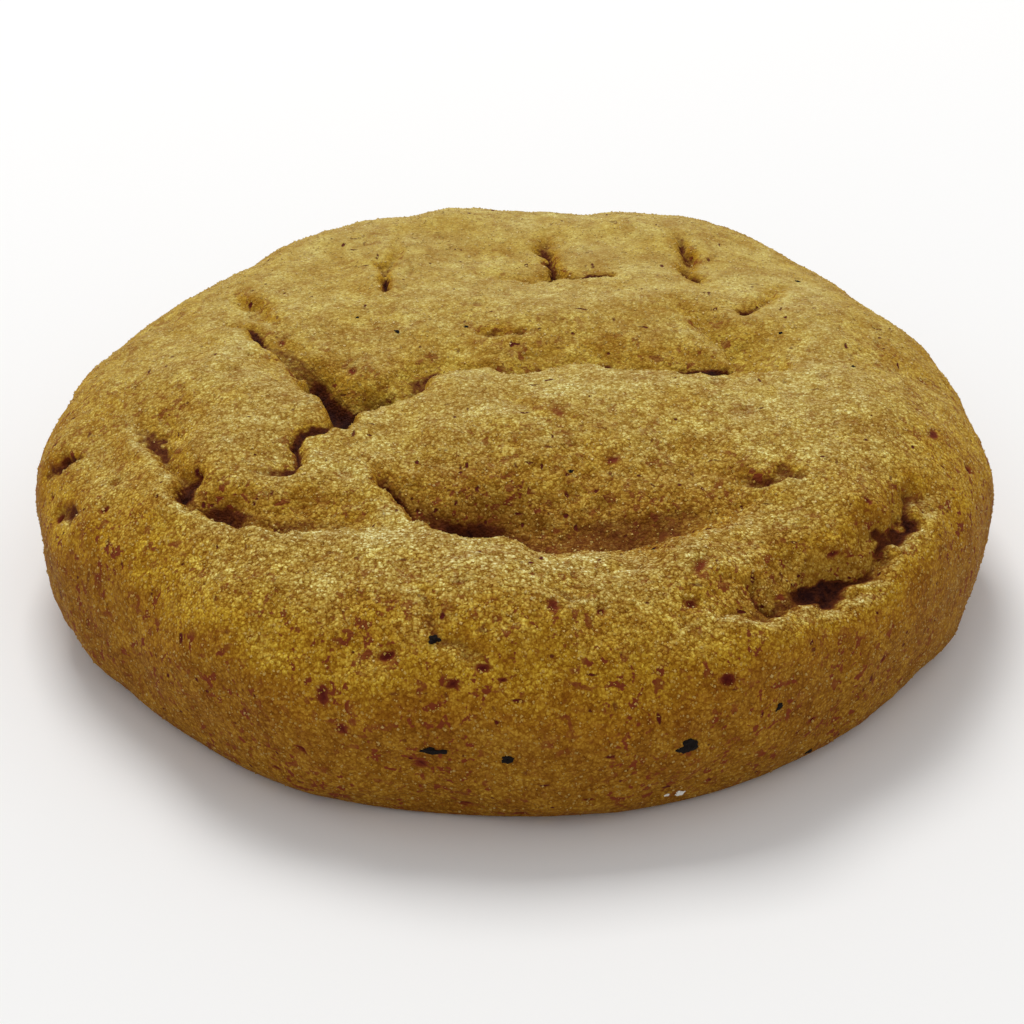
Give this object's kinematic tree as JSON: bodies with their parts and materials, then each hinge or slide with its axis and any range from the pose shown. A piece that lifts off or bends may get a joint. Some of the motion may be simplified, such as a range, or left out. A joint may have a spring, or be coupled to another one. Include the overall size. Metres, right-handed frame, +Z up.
{
  "type": "ginger molasses cookie",
  "caption": "Thick soft round spiced cookie with a full rounded edge, a lumpy deeply creased top and a flat baked base, for eating by hand.",
  "frame": {"origin": "middle of the flat baked base, under the centre of the cookie's outline", "axes": "+Z up out of the creased top, -Y towards the front side shown in the picture, +X to its right"},
  "size_m": [0.0896, 0.0904, 0.0227],
  "materials": {
    "baked_dough": "matte golden brown baked crumb rolled in fine sugar, browner towards the base and in the creases"
  },
  "bodies": {
    "root": {"cookie": "baked_dough"}
  },
  "joints": []
}
